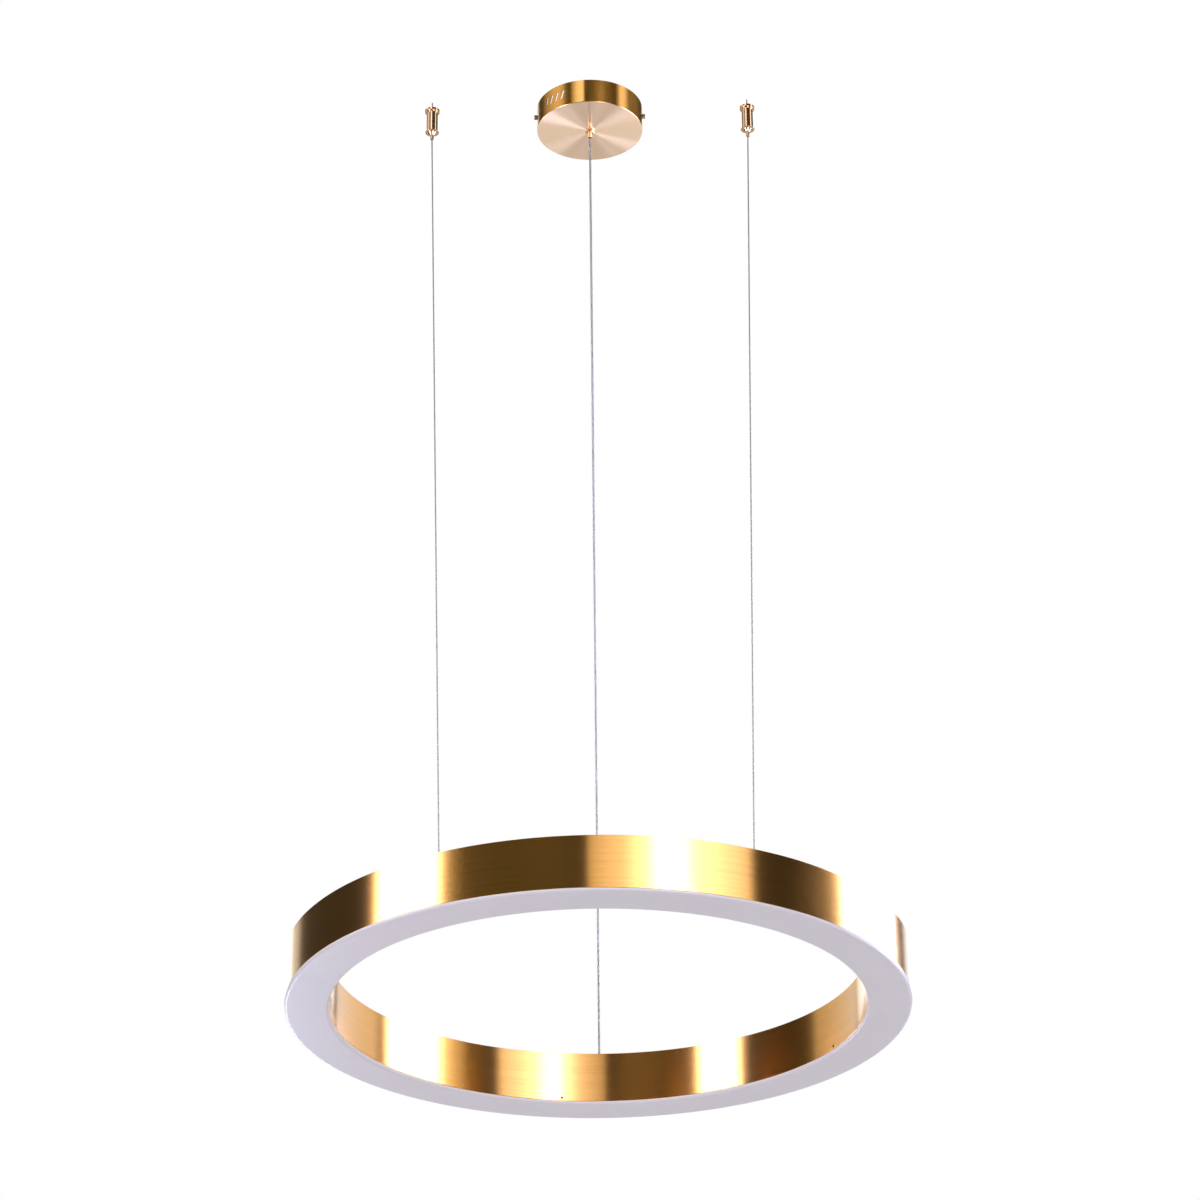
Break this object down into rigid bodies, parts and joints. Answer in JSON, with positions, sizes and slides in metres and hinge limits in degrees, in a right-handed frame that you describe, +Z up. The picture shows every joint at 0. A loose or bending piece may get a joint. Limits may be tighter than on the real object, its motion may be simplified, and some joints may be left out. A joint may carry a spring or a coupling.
{
  "type": "led ring chandelier",
  "caption": "Slim round light ring with an opal diffuser below, hung level on thin taut cables from a round ceiling canopy and barrel cable grippers.",
  "frame": {"origin": "on the ceiling, in the middle of the canopy, where its bracket is screwed on", "axes": "+Z up, -Y towards the viewer of the picture, +X to the viewer's right along the row of grippers"},
  "size_m": [0.8, 0.8, 1.3913],
  "materials": {
    "brushed_brass": "brushed round the canopy",
    "brushed_brass_sheet": "brass-plated and brushed along the ring",
    "polished_brass": "polished",
    "dark_brass": "darkened",
    "zinc_steel": "zinc plated",
    "spring_steel": "plain",
    "steel_rope": "stranded",
    "black_screw": "blackened",
    "plain_aluminium": "mill finish",
    "light_board": "white solder mask",
    "white_case": "moulded",
    "cream_plastic": "moulded",
    "white_sleeve": "satin",
    "clear_sleeve": "clear sleeve over stranded wires",
    "opal_diffuser": "opal, softly glossy"
  },
  "bodies": {
    "ceiling_fixings": {"canopy_cup": "brushed_brass", "ceiling_bracket": "zinc_steel", "earth_screw": "zinc_steel", "led_driver": "white_case", "terminal_block": "cream_plastic", "supply_lead": "white_sleeve", "cord_gland": "polished_brass", "gland_nut": "polished_brass", "cord_tail": "clear_sleeve", "gripper_cap_left": "polished_brass", "gripper_barrel_left": "polished_brass", "gripper_collar_left": "polished_brass", "gripper_chuck_left": "polished_brass", "gripper_spring_left": "spring_steel", "rope_end_left": "steel_rope", "gripper_cap_right": "polished_brass", "gripper_barrel_right": "polished_brass", "gripper_collar_right": "polished_brass", "gripper_chuck_right": "polished_brass", "gripper_spring_right": "spring_steel", "rope_end_right": "steel_rope"},
    "thumb_screw_left": {"thumb_screw_left": "dark_brass"},
    "thumb_screw_right": {"thumb_screw_right": "dark_brass"},
    "ring": {"cable_left": "steel_rope", "cable_right": "steel_rope", "cable_centre": "clear_sleeve", "outer_wall": "brushed_brass_sheet", "inner_wall": "brushed_brass_sheet", "top_plate": "brushed_brass_sheet", "board_carrier": "plain_aluminium", "light_board": "light_board", "ring_plug": "white_case", "ring_lead": "white_sleeve", "carrier_post_1": "plain_aluminium", "carrier_post_2": "plain_aluminium", "carrier_post_3": "plain_aluminium", "carrier_post_4": "plain_aluminium", "carrier_post_5": "plain_aluminium", "carrier_post_6": "plain_aluminium", "tray_screw_1": "black_screw", "tray_screw_2": "black_screw", "tray_screw_3": "black_screw", "tray_screw_4": "black_screw", "tray_screw_5": "black_screw", "anchor_left": "polished_brass", "anchor_nut_left": "polished_brass", "anchor_right": "polished_brass", "anchor_nut_right": "polished_brass", "anchor_centre": "polished_brass", "anchor_nut_centre": "polished_brass"},
    "diffuser": {"diffuser_tray": "opal_diffuser"},
    "plunger_left": {"gripper_plunger_left": "polished_brass", "gripper_jaw_left": "polished_brass"},
    "plunger_right": {"gripper_plunger_right": "polished_brass", "gripper_jaw_right": "polished_brass"}
  },
  "joints": [
    {"name": "ring_swing", "type": "hinge", "parent": "ceiling_fixings", "child": "ring", "pos_m": [0, 0, -0.05], "axis": [1, 0, 0], "range_deg": [-6, 6]},
    {"name": "tray_drop", "type": "slide", "parent": "ring", "child": "diffuser", "axis": [0, 0, -1], "range_m": [0, 0.03]},
    {"name": "plunger_press_left", "type": "slide", "parent": "ceiling_fixings", "child": "plunger_left", "axis": [0, 0, 1], "range_m": [0, 0.003], "stiffness_N_per_m": 300, "springref_m": -0.003, "deforming": ["gripper_spring_left"]},
    {"name": "plunger_press_right", "type": "slide", "parent": "ceiling_fixings", "child": "plunger_right", "axis": [0, 0, 1], "range_m": [0, 0.003], "stiffness_N_per_m": 300, "springref_m": -0.003, "deforming": ["gripper_spring_right"]},
    {"name": "thumb_screw_out_left", "type": "slide", "parent": "ceiling_fixings", "child": "thumb_screw_left", "axis": [-1, 0, 0], "range_m": [0, 0.008]},
    {"name": "thumb_screw_out_right", "type": "slide", "parent": "ceiling_fixings", "child": "thumb_screw_right", "axis": [1, 0, 0], "range_m": [0, 0.008]}
  ]
}
